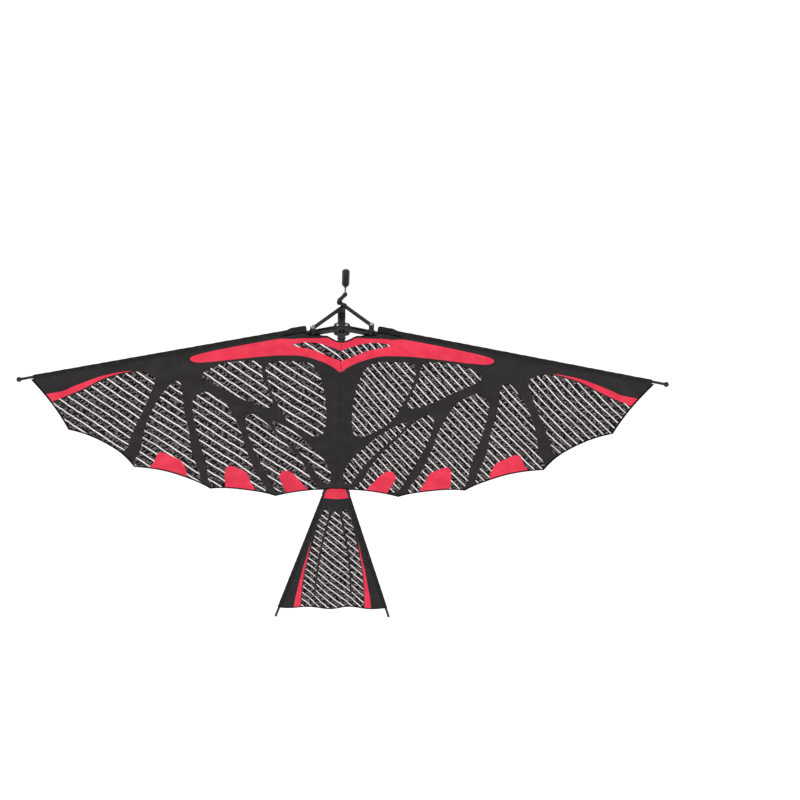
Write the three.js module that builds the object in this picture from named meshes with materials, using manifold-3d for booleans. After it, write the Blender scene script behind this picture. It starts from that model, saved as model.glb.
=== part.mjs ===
// Rubber-powered flapping-wing bird: millimetres, +Z up, the bird faces -Y.
// The origin is the centre of the flat underside of the head frame's bearing block.
import * as THREE from 'three';
import { mergeVertices } from 'three/addons/utils/BufferGeometryUtils.js';
import Module from 'manifold-3d';

const wasm = await Module();
wasm.setup();

const DEG = Math.PI / 180;

// Distance from the wing hinges' middle back to the middle of the bearing block.
const BLOCK_CENTRE_Y = 5.05;
const BLOCK_LENGTH = 8.9;

// Heights of the three parallel axes that run along Y.
const CRANK_Z = 3.8;
const HINGE_Z = 19.8;
const STICK_Z = 17.2;

// Wing hinge and the link geometry that sets the stroke.
const HINGE_X = 3.2;
const REST_ANGLE = 14 * DEG;
const LINK_RADIUS = 18.3;
const CRANK_THROW = 2.4;
const HANDLE_THROW = 7.7;
const HANDLE_ANGLE = 252 * DEG;
const SPAR_Y = -4.9;

// Planes across the mechanism, measured along Y.
const WEB_Y = -2.2;
const ROD_A_Y = -4.0;
const MIDDLE_WEB_Y = -5.85;
const ROD_B_Y = -7.7;
const WINDING_ARM_Y = -9.8;
const ROD_THICK = 1.8;

// Wire, rods and running clearances.
const WIRE_R = 0.6;
const RUN_GAP = 0.08;
const FIT_GAP = 0.05;
const PART_GAP = 0.3;
const SPAR_R = 1.0;
const STICK_R = 1.5;
const SLEEVE_R = 2.2;
const TAIL_ROD_R = 0.9;

// Outer sizes.
const HALF_SPAN = 232.5;
const TIP_BALL_R = 1.9;
const GRIP_FRONT_Y = -35.2;
const GRIP_LENGTH = 17.1;
const GRIP_R = 2.75;
const TAIL_END_Y = 319.8;

// Fabric.
const CLOTH_THICK = 0.4;
const CLOTH_ROOT_X = 3.6;
const ROOT_EDGE_Y = 171;
const NOTCH_Y = 15;

// Rubber loop and its hooks.
const HOOK_R = 2.4;
const FRONT_HOOK_Y = 15;
const REAR_HOOK_Y = 136;
const RUBBER_R = 0.9;

// Tail.
const STICK_END_Y = 166.8;
const TAIL_PIVOT_Y = 161;
const TAIL_Z = 11.8;
const TAIL_HALF_ANGLE = 13.7 * DEG;
const TAIL_APEX_Y = 151.3;
const TAIL_CLOTH_END_Y = 309.9;
const TAIL_CLOTH_LIFT = 2.1;

const group = new THREE.Group();

// Everything below is drawn with Y = 0 at the wing hinges and moved on the way out.
function paint(name, geometry, color, roughness, metalness) {
  const material = new THREE.MeshStandardMaterial({ color, roughness, metalness });
  const mesh = new THREE.Mesh(geometry.clone().translate(0, -BLOCK_CENTRE_Y, 0), material);
  mesh.name = name;
  group.add(mesh);
}

function toSolid(geometry) {
  const bare = geometry.index ? geometry.toNonIndexed() : geometry.clone();
  bare.deleteAttribute('normal');
  bare.deleteAttribute('uv');
  const merged = mergeVertices(bare, 1e-5);
  return new wasm.Manifold(new wasm.Mesh({
    numProp: 3,
    vertProperties: new Float32Array(merged.attributes.position.array),
    triVerts: new Uint32Array(merged.index.array),
  }));
}

function toGeometry(solid) {
  const mesh = solid.getMesh();
  const geometry = new THREE.BufferGeometry();
  geometry.setAttribute('position', new THREE.BufferAttribute(mesh.vertProperties, 3));
  geometry.setIndex(new THREE.BufferAttribute(mesh.triVerts, 1));
  geometry.computeVertexNormals();
  return geometry;
}

// Joins the first list of geometries and cuts the second list away.
function carve(added, removed = []) {
  let solid = toSolid(added[0]);
  for (const piece of added.slice(1)) {
    solid = solid.add(toSolid(piece));
  }
  for (const piece of removed) {
    solid = solid.subtract(toSolid(piece));
  }
  return toGeometry(solid);
}

function box(x0, x1, y0, y1, z0, z1) {
  const geometry = new THREE.BoxGeometry(x1 - x0, y1 - y0, z1 - z0);
  geometry.translate((x0 + x1) / 2, (y0 + y1) / 2, (z0 + z1) / 2);
  return geometry;
}

function rodAlongY(x, z, radius, y0, y1, sides = 24) {
  const geometry = new THREE.CylinderGeometry(radius, radius, y1 - y0, sides);
  geometry.translate(x, (y0 + y1) / 2, z);
  return geometry;
}

function rodAlongX(y, z, radius, x0, x1, sides = 20) {
  const geometry = new THREE.CylinderGeometry(radius, radius, x1 - x0, sides);
  geometry.rotateZ(-Math.PI / 2);
  geometry.translate((x0 + x1) / 2, y, z);
  return geometry;
}

// A plate drawn in the X-Z plane and given a thickness along Y.
function plateXZ(shape, y0, y1, curveSegments = 10) {
  const geometry = new THREE.ExtrudeGeometry(shape, { depth: y1 - y0, bevelEnabled: false, curveSegments });
  geometry.rotateX(Math.PI / 2);
  geometry.translate(0, y1, 0);
  return geometry;
}

// A plate drawn in the Y-Z plane and given a thickness along X.
function plateYZ(shape, x0, x1, curveSegments = 10) {
  const geometry = new THREE.ExtrudeGeometry(shape, { depth: x1 - x0, bevelEnabled: false, curveSegments });
  geometry.rotateX(Math.PI / 2);
  geometry.rotateZ(Math.PI / 2);
  geometry.translate(x0, 0, 0);
  return geometry;
}

function polygon(corners) {
  return new THREE.Shape(corners.map(([x, y]) => new THREE.Vector2(x, y)));
}

// A bar with a round eye and a bore at each end, drawn along +X from the first eye.
function eyeBar(length, eyeRadius, halfWidth, nearBore, farBore) {
  const outline = new THREE.Shape();
  const open = Math.asin(halfWidth / eyeRadius);
  outline.absarc(0, 0, eyeRadius, open, 2 * Math.PI - open, false);
  outline.absarc(length, 0, eyeRadius, Math.PI + open, 3 * Math.PI - open, false);
  outline.closePath();
  for (const [x, radius] of [[0, nearBore], [length, farBore]]) {
    const bore = new THREE.Path();
    bore.absarc(x, 0, radius, 0, 2 * Math.PI, true);
    outline.holes.push(bore);
  }
  return outline;
}

// A sheet drawn in the X-Y plane and given a thickness along Z.
function sheetXY(shape, z0, curveSegments = 8) {
  const geometry = new THREE.ExtrudeGeometry(shape, {
    depth: CLOTH_THICK,
    bevelEnabled: false,
    curveSegments,
  });
  geometry.translate(0, 0, z0);
  return geometry;
}

// Turned shape about an axis parallel to Y; the profile holds [radius, y] pairs.
function turnedY(profile, x, z, segments = 20) {
  const points = profile.map(([r, y]) => new THREE.Vector2(r, y));
  const geometry = new THREE.LatheGeometry(points, segments);
  geometry.translate(x, 0, z);
  return geometry;
}

// Rounds every inner corner of a wire path.
function bentPath(corners, bendRadius, bendSteps = 4) {
  const path = [corners[0]];
  for (let i = 1; i < corners.length - 1; i += 1) {
    const before = corners[i - 1].clone().sub(corners[i]);
    const after = corners[i + 1].clone().sub(corners[i]);
    const reach = Math.min(bendRadius, before.length() * 0.45, after.length() * 0.45);
    const start = corners[i].clone().addScaledVector(before.normalize(), reach);
    const end = corners[i].clone().addScaledVector(after.normalize(), reach);
    const bend = new THREE.QuadraticBezierCurve3(start, corners[i], end);
    path.push(...bend.getPoints(bendSteps));
  }
  path.push(corners[corners.length - 1]);
  return path;
}

// Sweeps a round section along a path, with a mitred ring at every point.
function wire(path, radius, closed = false, sides = 10) {
  const count = path.length;
  const directionAt = (i) => {
    const ahead = closed ? path[(i + 1) % count] : path[Math.min(i + 1, count - 1)];
    const behind = closed ? path[(i + count - 1) % count] : path[Math.max(i - 1, 0)];
    const incoming = path[i].clone().sub(behind);
    const outgoing = ahead.clone().sub(path[i]);
    const mean = incoming.normalize().add(outgoing.normalize());
    return mean.normalize();
  };
  const positions = [];
  const index = [];
  let side = new THREE.Vector3(1, 0, 0);
  if (Math.abs(directionAt(0).x) > 0.9) {
    side = new THREE.Vector3(0, 0, 1);
  }
  for (let i = 0; i < count; i += 1) {
    const tangent = directionAt(i);
    side = side.addScaledVector(tangent, -side.dot(tangent)).normalize();
    const other = tangent.clone().cross(side);
    for (let k = 0; k < sides; k += 1) {
      const angle = (2 * Math.PI * k) / sides;
      const point = path[i].clone()
        .addScaledVector(side, radius * Math.cos(angle))
        .addScaledVector(other, radius * Math.sin(angle));
      positions.push(point.x, point.y, point.z);
    }
  }
  const rings = closed ? count : count - 1;
  for (let i = 0; i < rings; i += 1) {
    for (let k = 0; k < sides; k += 1) {
      const a = i * sides + k;
      const b = i * sides + ((k + 1) % sides);
      const c = ((i + 1) % count) * sides + k;
      const d = ((i + 1) % count) * sides + ((k + 1) % sides);
      index.push(a, b, c, b, d, c);
    }
  }
  if (!closed) {
    const last = (count - 1) * sides;
    for (let k = 1; k < sides - 1; k += 1) {
      index.push(0, k + 1, k);
      index.push(last, last + k, last + k + 1);
    }
  }
  const geometry = new THREE.BufferGeometry();
  geometry.setAttribute('position', new THREE.Float32BufferAttribute(positions, 3));
  geometry.setIndex(index);
  geometry.computeVertexNormals();
  return geometry;
}

// Mirrors a geometry across the plane X = 0 and keeps it facing out.
function mirrored(geometry) {
  const copy = geometry.clone();
  copy.scale(-1, 1, 1);
  if (!copy.index) {
    const welded = mergeVertices(copy);
    copy.copy(welded);
  }
  const order = copy.index.array;
  for (let i = 0; i < order.length; i += 3) {
    const second = order[i + 1];
    order[i + 1] = order[i + 2];
    order[i + 2] = second;
  }
  copy.computeVertexNormals();
  return copy;
}

// Swings wing geometry, drawn flat with the hinge at X = 0, Z = 0, to its rest angle.
function placeWing(geometry, side) {
  geometry.rotateY(-REST_ANGLE);
  geometry.translate(HINGE_X, 0, HINGE_Z);
  return side > 0 ? geometry : mirrored(geometry);
}

// ---- link points, in the X-Z plane -------------------------------------------------
const crankCentre = new THREE.Vector2(0, CRANK_Z);
const wingPin = new THREE.Vector2(
  HINGE_X + LINK_RADIUS * Math.cos(REST_ANGLE),
  HINGE_Z + LINK_RADIUS * Math.sin(REST_ANGLE),
);
const towardWing = wingPin.clone().sub(crankCentre).normalize();
const rodLength = wingPin.distanceTo(crankCentre) + CRANK_THROW;
const rodAngle = Math.atan2(towardWing.y, towardWing.x);
// The crank stands at dead centre: each crank pin is beyond the shaft from its wing.
const pinA = crankCentre.clone().addScaledVector(towardWing, -CRANK_THROW);
const pinB = new THREE.Vector2(-pinA.x, pinA.y);
const handlePin = new THREE.Vector2(
  HANDLE_THROW * Math.cos(HANDLE_ANGLE),
  CRANK_Z + HANDLE_THROW * Math.sin(HANDLE_ANGLE),
);

const PLASTIC = 0x17171a;
const CARBON = 0x1d1d20;
const STEEL = 0x8e9196;
const CLOTH = 0x302e2e;

// ---- head frame --------------------------------------------------------------------
const BLOCK_Y0 = BLOCK_CENTRE_Y - BLOCK_LENGTH / 2;
const BLOCK_Y1 = BLOCK_CENTRE_Y + BLOCK_LENGTH / 2;
const BLOCK_HALF = 2.7;
const BLOCK_TOP = 7.6;
const PLATE_FRONT = -2.6;
const PLATE_BACK = -1.3;
const REAR_LUG_Y0 = 2.7;
const REAR_LUG_Y1 = 5.6;
const LUG_R = 2.6;
const POST_Y0 = 1.4;
const SOCKET_END_Y = 14.6;
const PIN_R = 0.6;
const KNUCKLE_R = 2.3;
const BUSH_R = 1.4;

function lugPlate(y0, y1) {
  const shape = new THREE.Shape();
  shape.absarc(HINGE_X, HINGE_Z, LUG_R, -Math.PI / 2, Math.PI / 2, false);
  shape.absarc(-HINGE_X, HINGE_Z, LUG_R, Math.PI / 2, (3 * Math.PI) / 2, false);
  shape.closePath();
  return plateXZ(shape, y0, y1, 12);
}

function post() {
  const shape = new THREE.Shape();
  shape.moveTo(-2.6, BLOCK_TOP - 0.6);
  shape.lineTo(2.6, BLOCK_TOP - 0.6);
  shape.quadraticCurveTo(2.0, BLOCK_TOP + 1.4, 1.9, BLOCK_TOP + 3);
  shape.lineTo(1.9, HINGE_Z - 4.6);
  shape.quadraticCurveTo(2.0, HINGE_Z - 3.2, 3.4, HINGE_Z - 2.3);
  shape.lineTo(-3.4, HINGE_Z - 2.3);
  shape.quadraticCurveTo(-2.0, HINGE_Z - 3.2, -1.9, HINGE_Z - 4.6);
  shape.lineTo(-1.9, BLOCK_TOP + 3);
  shape.quadraticCurveTo(-2.0, BLOCK_TOP + 1.4, -2.6, BLOCK_TOP - 0.6);
  return plateXZ(shape, POST_Y0, REAR_LUG_Y1, 5);
}

// The rib that ties the post to the stick socket.
const ribOutline = polygon([[5.4, 9.4], [12.6, STICK_Z - 1.6], [5.4, STICK_Z - 1.6]]);
const rib = plateYZ(ribOutline, -0.7, 0.7);

paint('head_frame', carve([
  box(-BLOCK_HALF, BLOCK_HALF, BLOCK_Y0, BLOCK_Y1, 0, BLOCK_TOP),
  post(),
  rib,
  lugPlate(PLATE_FRONT, PLATE_BACK),
  lugPlate(REAR_LUG_Y0, REAR_LUG_Y1),
  box(-0.55, 0.55, PLATE_FRONT + 0.2, REAR_LUG_Y1 - 0.2, HINGE_Z - 2.4, HINGE_Z + 2.2),
  box(-2.2, 2.2, PLATE_FRONT, REAR_LUG_Y1 - 0.2, HINGE_Z - 4.4, HINGE_Z - LUG_R + 0.1),
  rodAlongY(0, STICK_Z, 2.6, REAR_LUG_Y1 - 0.4, SOCKET_END_Y - 1),
  rodAlongY(0, STICK_Z, 3.0, SOCKET_END_Y - 2.2, SOCKET_END_Y),
], [
  rodAlongY(0, CRANK_Z, BUSH_R + FIT_GAP, BLOCK_Y0 - 1, BLOCK_Y1 + 1),
  rodAlongY(HINGE_X, HINGE_Z, PIN_R + FIT_GAP, PLATE_FRONT - 1, REAR_LUG_Y1 + 1, 16),
  rodAlongY(-HINGE_X, HINGE_Z, PIN_R + FIT_GAP, PLATE_FRONT - 1, REAR_LUG_Y1 + 1, 16),
  rodAlongY(0, STICK_Z, STICK_R + FIT_GAP, 8, SOCKET_END_Y + 1),
]), PLASTIC, 0.5, 0);

paint('crank_bush', turnedY([
  [WIRE_R + RUN_GAP, 0.1],
  [2.1, 0.1],
  [2.1, 0.55],
  [BUSH_R, 0.55],
  [BUSH_R, BLOCK_Y1 + 0.4],
  [WIRE_R + RUN_GAP, BLOCK_Y1 + 0.4],
  [WIRE_R + RUN_GAP, 0.1],
], 0, CRANK_Z, 24), STEEL, 0.35, 1);

const hingePin = turnedY([
  [0, -3.7],
  [0.7, -3.6],
  [1.1, -3.2],
  [1.15, -2.7],
  [PIN_R, -2.7],
  [PIN_R, 6.6],
  [0.35, 6.9],
  [0, 6.9],
], HINGE_X, HINGE_Z, 16);
paint('hinge_pin_left', hingePin, STEEL, 0.35, 1);
paint('hinge_pin_right', mirrored(hingePin), STEEL, 0.35, 1);

paint('motor_stick', rodAlongY(0, STICK_Z, STICK_R, 8.2, STICK_END_Y, 20), CARBON, 0.4, 0);

// ---- crank, handle and rubber ------------------------------------------------------
const at = (point, y) => new THREE.Vector3(point.x, y, point.y);
const onAxis = (y, z = 0) => new THREE.Vector3(0, y, CRANK_Z + z);

const crankCorners = [
  onAxis(FRONT_HOOK_Y - 1.2, HOOK_R - 0.2),
  onAxis(FRONT_HOOK_Y + 0.4, HOOK_R),
  onAxis(FRONT_HOOK_Y + HOOK_R, 1.2),
  onAxis(FRONT_HOOK_Y + HOOK_R, -1.2),
  onAxis(FRONT_HOOK_Y, -HOOK_R),
  onAxis(FRONT_HOOK_Y - 1.8, -HOOK_R + 0.6),
  onAxis(FRONT_HOOK_Y - 3.4, 0),
  onAxis(WEB_Y),
  at(pinA, WEB_Y),
  at(pinA, MIDDLE_WEB_Y),
  at(pinB, MIDDLE_WEB_Y),
  at(pinB, WINDING_ARM_Y - 0.7),
];
paint('crankshaft', wire(bentPath(crankCorners, 1.1), WIRE_R), STEEL, 0.3, 1);

// The winding arm is pressed onto the front crank pin and carries the grip's own pin.
const ARM_EYE_R = 1.5;
const ARM_HALF_WIDTH = 1.15;
const WINDING_ARM_THICK = 1.8;
const WINDING_ARM_FRONT = WINDING_ARM_Y - WINDING_ARM_THICK / 2;
const pressBore = WIRE_R + FIT_GAP;
const alongArm = handlePin.clone().sub(pinB);
const windingArm = plateXZ(
  eyeBar(alongArm.length(), ARM_EYE_R, ARM_HALF_WIDTH, pressBore, pressBore),
  WINDING_ARM_FRONT,
  WINDING_ARM_FRONT + WINDING_ARM_THICK,
  12,
);
windingArm.rotateY(-alongArm.angle());
windingArm.translate(pinB.x, 0, pinB.y);
paint('winding_arm', windingArm, PLASTIC, 0.45, 0);
paint('handle_pin', rodAlongY(
  handlePin.x,
  handlePin.y,
  WIRE_R,
  GRIP_FRONT_Y + 2.6,
  WINDING_ARM_Y + 0.7,
  16,
), STEEL, 0.3, 1);

paint('thrust_bead', turnedY([
  [WIRE_R + RUN_GAP, -1.35],
  [1.3, -1.35],
  [1.75, -1.0],
  [1.75, -0.4],
  [1.3, -0.05],
  [WIRE_R + RUN_GAP, -0.05],
  [WIRE_R + RUN_GAP, -1.35],
], 0, CRANK_Z, 20), 0x2a2a2e, 0.3, 0);

const gripBack = GRIP_FRONT_Y + GRIP_LENGTH;
const gripDome = [];
const DOME_STEPS = 5;
for (let i = 0; i <= DOME_STEPS; i += 1) {
  const angle = (i / DOME_STEPS) * (Math.PI / 2);
  gripDome.push([
    GRIP_R * Math.sin(angle),
    GRIP_FRONT_Y + 1.7 * (1 - Math.cos(angle)),
  ]);
}
paint('handle_grip', turnedY([
  ...gripDome,
  [GRIP_R, gripBack - 3.2],
  [GRIP_R - 0.5, gripBack - 2.0],
  [1.25, gripBack],
  [WIRE_R + RUN_GAP, gripBack],
  [WIRE_R + RUN_GAP, GRIP_FRONT_Y + 2.2],
  [0, GRIP_FRONT_Y + 2.2],
], handlePin.x, handlePin.y, 24), PLASTIC, 0.35, 0);

// A closed flat loop round both hooks.
const rubberX = WIRE_R + PART_GAP + RUBBER_R;
const rubberFront = FRONT_HOOK_Y + HOOK_R;
const rubberRear = REAR_HOOK_Y - HOOK_R;
const rubberPath = [];
const BIGHT_STEPS = 8;
for (let i = 0; i <= BIGHT_STEPS; i += 1) {
  const angle = (i / BIGHT_STEPS) * Math.PI;
  rubberPath.push(onAxis(rubberFront - rubberX * Math.sin(angle)));
  rubberPath[i].x = rubberX * Math.cos(angle);
}
for (let i = 0; i <= BIGHT_STEPS; i += 1) {
  const angle = (i / BIGHT_STEPS) * Math.PI;
  const point = onAxis(rubberRear + rubberX * Math.sin(angle));
  point.x = -rubberX * Math.cos(angle);
  rubberPath.push(point);
}
paint('rubber_motor', wire(rubberPath, RUBBER_R, true, 8), 0x8a7a5c, 0.8, 0);

// ---- rear hook ---------------------------------------------------------------------
const MOUNT_Y0 = REAR_HOOK_Y + 1.6;
const MOUNT_Y1 = MOUNT_Y0 + 6;
const HOOK_SHANK_END_Y = MOUNT_Y1 - 1.2;
const mountLeg = new THREE.Shape();
mountLeg.moveTo(-1.8, STICK_Z - 1.2);
mountLeg.quadraticCurveTo(-1.5, STICK_Z - 4, -1.5, STICK_Z - 6);
mountLeg.lineTo(-1.5, CRANK_Z + 0.6);
mountLeg.absarc(0, CRANK_Z, 1.9, Math.PI * 0.85, Math.PI * 2.15, false);
mountLeg.lineTo(1.5, STICK_Z - 6);
mountLeg.quadraticCurveTo(1.5, STICK_Z - 4, 1.8, STICK_Z - 1.2);
mountLeg.closePath();
paint('rear_hook_mount', carve([
  rodAlongY(0, STICK_Z, SLEEVE_R, MOUNT_Y0, MOUNT_Y1),
  plateXZ(mountLeg, MOUNT_Y0 + 0.8, MOUNT_Y1 - 0.8, 8),
], [
  rodAlongY(0, STICK_Z, STICK_R + FIT_GAP, MOUNT_Y0 - 1, MOUNT_Y1 + 1),
  rodAlongY(0, CRANK_Z, WIRE_R + FIT_GAP, MOUNT_Y0 - 1, HOOK_SHANK_END_Y + 0.1, 16),
]), PLASTIC, 0.5, 0);

paint('rear_hook', wire(bentPath([
  onAxis(REAR_HOOK_Y + 0.6, HOOK_R - 0.4),
  onAxis(REAR_HOOK_Y - 0.6, HOOK_R),
  onAxis(REAR_HOOK_Y - HOOK_R, 1.2),
  onAxis(REAR_HOOK_Y - HOOK_R, -1.2),
  onAxis(REAR_HOOK_Y - 0.4, -HOOK_R),
  onAxis(REAR_HOOK_Y + 1.0, -HOOK_R + 0.8),
  onAxis(REAR_HOOK_Y + 2.0, 0),
  onAxis(HOOK_SHANK_END_Y),
], 0.9), WIRE_R), STEEL, 0.3, 1);

// ---- connecting rods ---------------------------------------------------------------
const EYE_R = 1.9;
const ROD_HALF_WIDTH = 1.05;
const RIVET_R = 0.65;

function connectingRod(crankPin, angle, rodY) {
  const outline = eyeBar(rodLength, EYE_R, ROD_HALF_WIDTH, WIRE_R + RUN_GAP, RIVET_R + FIT_GAP);
  const geometry = plateXZ(outline, rodY - ROD_THICK / 2, rodY + ROD_THICK / 2, 12);
  geometry.rotateY(-angle);
  geometry.translate(crankPin.x, 0, crankPin.y);
  return geometry;
}

paint('conrod_left', connectingRod(pinA, rodAngle, ROD_A_Y), PLASTIC, 0.45, 0);
paint('conrod_right', connectingRod(pinB, Math.PI - rodAngle, ROD_B_Y), PLASTIC, 0.45, 0);

// Headed pin pressed through the rod's outer eye.
function rodPin(x, rodY, reach) {
  const front = rodY - ROD_THICK / 2;
  const back = rodY + ROD_THICK / 2;
  return turnedY([
    [0, front - reach],
    [0.5, front - reach + 0.1],
    [0.7, front - reach + 0.5],
    [0.7, front - 0.9],
    [1.35, front - 0.6],
    [1.35, front - 0.05],
    [RIVET_R, front - 0.05],
    [RIVET_R, back],
    [0, back],
  ], x, wingPin.y, 16);
}
paint('rod_pin_left', rodPin(wingPin.x, ROD_A_Y, 2.6), STEEL, 0.35, 1);
paint('rod_pin_right', rodPin(-wingPin.x, ROD_B_Y, 1.7), STEEL, 0.35, 1);

// ---- wings -------------------------------------------------------------------------
const KNUCKLE_Y0 = PLATE_BACK + PART_GAP;
const KNUCKLE_Y1 = REAR_LUG_Y0 - PART_GAP;
const ARM_END = 33;
const SOCKET_START = 23.6;
const SPAR_START = 25;
const SOCKET_R = 1.7;
const BAR_END = 28;
const TIP_CENTRE = (HALF_SPAN - TIP_BALL_R - HINGE_X) / Math.cos(REST_ANGLE);

function armBar() {
  const shape = new THREE.Shape();
  shape.moveTo(0, -1.7);
  shape.quadraticCurveTo(4, -1.5, 12, -1.5);
  shape.lineTo(BAR_END - 1.5, -1.4);
  shape.quadraticCurveTo(BAR_END, -1.4, BAR_END, 0);
  shape.quadraticCurveTo(BAR_END, 1.4, BAR_END - 1.5, 1.4);
  shape.lineTo(12, 1.5);
  shape.quadraticCurveTo(4, 1.5, 0, 1.9);
  shape.closePath();
  return plateXZ(shape, KNUCKLE_Y0, KNUCKLE_Y1, 5);
}

// The spar's socket stands forward of the bar, on a short block.
function sparSocket() {
  const tube = rodAlongX(SPAR_Y, 0, SOCKET_R, SOCKET_START, ARM_END);
  const lip = rodAlongX(SPAR_Y, 0, SOCKET_R + 0.3, ARM_END - 1.4, ARM_END);
  const block = box(SOCKET_START, BAR_END - 0.8, SPAR_Y, KNUCKLE_Y0 + 0.5, -1.2, 1.2);
  return [tube, lip, block];
}

// The boss reaches forward to the plane of its rod.
function wingArm(bossFront) {
  return carve([
    rodAlongY(0, 0, KNUCKLE_R, KNUCKLE_Y0, KNUCKLE_Y1, 28),
    armBar(),
    ...sparSocket(),
    rodAlongY(LINK_RADIUS, 0, EYE_R, bossFront, 0),
    rodAlongY(LINK_RADIUS, 0, EYE_R + 0.5, KNUCKLE_Y0 - 0.7, 0),
  ], [
    rodAlongY(0, 0, PIN_R + RUN_GAP, KNUCKLE_Y0 - 1, KNUCKLE_Y1 + 1, 16),
    rodAlongX(SPAR_Y, 0, SPAR_R + FIT_GAP, SPAR_START, ARM_END + 1),
    box(4.2, 14.2, 1.4, KNUCKLE_Y1 + 1, -0.8, 0.8),
    box(4.2, 14.2, KNUCKLE_Y0 - 1, 0.0, -0.8, 0.8),
  ]);
}

const spar = rodAlongX(SPAR_Y, 0, SPAR_R, SPAR_START + 0.1, TIP_CENTRE, 16);

// Turned about Y with the spar's bore opening downwards, then laid along the spar.
function tipBall() {
  const bore = SPAR_R + FIT_GAP;
  const mouthAngle = Math.asin(bore / TIP_BALL_R);
  const profile = [[0, 0.1], [bore, 0.1]];
  const steps = 8;
  for (let i = 0; i <= steps; i += 1) {
    const angle = mouthAngle + (Math.PI - mouthAngle) * (i / steps);
    profile.push([TIP_BALL_R * Math.sin(angle), -TIP_BALL_R * Math.cos(angle)]);
  }
  const ball = turnedY(profile, 0, 0, 18);
  ball.rotateZ(-Math.PI / 2);
  ball.translate(TIP_CENTRE, SPAR_Y, 0);
  return ball;
}

// Corners of the trailing edge from the tip to the root: distance from the centre line,
// distance behind the spar, and the depth of the scallop that leads to the corner.
const SCALLOPS = [
  { corner: [200, 62.8], depth: 1.6 },
  { corner: [151, 115], depth: 5.8 },
  { corner: [94, 153.6], depth: 4.8 },
  { corner: [45.4, 173.4], depth: 3.4 },
  { corner: [9.5, ROOT_EDGE_Y - SPAR_Y], depth: 1.5 },
];
const TIP_CORNER = [228, SPAR_R + PART_GAP];
const CLOTH_INNER = new THREE.Vector2(90, 60);

function scallopTo(shape, from, to, depth) {
  const middle = from.clone().add(to).multiplyScalar(0.5);
  const across = new THREE.Vector2(to.y - from.y, from.x - to.x).normalize();
  if (across.dot(CLOTH_INNER.clone().sub(middle)) < 0) {
    across.negate();
  }
  middle.addScaledVector(across, 2 * depth);
  shape.quadraticCurveTo(middle.x, middle.y, to.x, to.y);
}

// Cloth X is measured from the centre line; the wing frame starts at the hinge.
function wingCloth() {
  const shape = new THREE.Shape();
  const onCloth = ([x, y]) => new THREE.Vector2(x - HINGE_X, y + SPAR_Y);
  const start = onCloth(TIP_CORNER);
  shape.moveTo(start.x, start.y);
  let from = start;
  for (const { corner, depth } of SCALLOPS) {
    const to = onCloth(corner);
    scallopTo(shape, from, to, depth);
    from = to;
  }
  const inner = CLOTH_ROOT_X - HINGE_X;
  shape.lineTo(inner, ROOT_EDGE_Y);
  shape.lineTo(inner, NOTCH_Y);
  shape.quadraticCurveTo(4, 6, 14, KNUCKLE_Y1 + PART_GAP);
  shape.lineTo(ARM_END, KNUCKLE_Y1 + PART_GAP);
  shape.lineTo(ARM_END + 2, SPAR_Y + SPAR_R + PART_GAP);
  shape.closePath();
  return sheetXY(shape, -CLOTH_THICK / 2, 8);
}

const BOSS_A_FRONT = ROD_A_Y + ROD_THICK / 2 + PART_GAP;
const BOSS_B_FRONT = ROD_B_Y + ROD_THICK / 2 + PART_GAP;
for (const [side, suffix, bossFront] of [[1, 'left', BOSS_A_FRONT], [-1, 'right', BOSS_B_FRONT]]) {
  paint(`wing_arm_${suffix}`, placeWing(wingArm(bossFront), side), PLASTIC, 0.5, 0);
  paint(`wing_spar_${suffix}`, placeWing(spar.clone(), side), CARBON, 0.4, 0);
  paint(`spar_tip_${suffix}`, placeWing(tipBall(), side), PLASTIC, 0.4, 0);
  paint(`wing_membrane_${suffix}`, placeWing(wingCloth(), side), CLOTH, 0.9, 0);
}

// The strip of cloth that is glued along the stick between the wing halves.
const STRIP_HALF = 2.9;
const STRIP_END_Y = ROOT_EDGE_Y - 0.5;
const strip = polygon([
  [-STRIP_HALF, NOTCH_Y],
  [STRIP_HALF, NOTCH_Y],
  [STRIP_HALF, STRIP_END_Y],
  [-STRIP_HALF, STRIP_END_Y],
]);
paint('spine_strip', sheetXY(strip, HINGE_Z - 0.5 * CLOTH_THICK), CLOTH, 0.9, 0);

// ---- tail --------------------------------------------------------------------------
const TAIL_SOCKET_Y0 = TAIL_PIVOT_Y - 9;
const TAIL_SOCKET_Y1 = TAIL_PIVOT_Y + 5;
const LUG_HALF = 1.5;
const EAR_IN = LUG_HALF + PART_GAP;
const EAR_OUT = 3.6;
const EAR_R = 2.9;
const SCREW_R = 0.95;

function lugSide() {
  const shape = new THREE.Shape();
  shape.moveTo(TAIL_PIVOT_Y - 4.2, STICK_Z - 1.6);
  shape.lineTo(TAIL_PIVOT_Y - 2.7, TAIL_Z);
  shape.absarc(TAIL_PIVOT_Y, TAIL_Z, 2.7, Math.PI, 2 * Math.PI, false);
  shape.lineTo(TAIL_PIVOT_Y + 4.2, STICK_Z - 1.6);
  shape.closePath();
  return plateYZ(shape, -LUG_HALF, LUG_HALF);
}

paint('tail_socket', carve([
  rodAlongY(0, STICK_Z, SLEEVE_R, TAIL_SOCKET_Y0, TAIL_SOCKET_Y1),
  lugSide(),
], [
  rodAlongY(0, STICK_Z, STICK_R + FIT_GAP, TAIL_SOCKET_Y0 - 1, TAIL_SOCKET_Y1 + 1),
  rodAlongX(TAIL_PIVOT_Y, TAIL_Z, SCREW_R + FIT_GAP, -4, 4),
]), PLASTIC, 0.5, 0);

const tailRodX = (y) => (y - TAIL_APEX_Y) * Math.tan(TAIL_HALF_ANGLE);
const TAIL_ROD_START_Y = TAIL_PIVOT_Y + 9;
const BRACKET_END_Y = TAIL_PIVOT_Y + 26;
const EAR_BACK_Y = TAIL_PIVOT_Y + 6;

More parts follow.
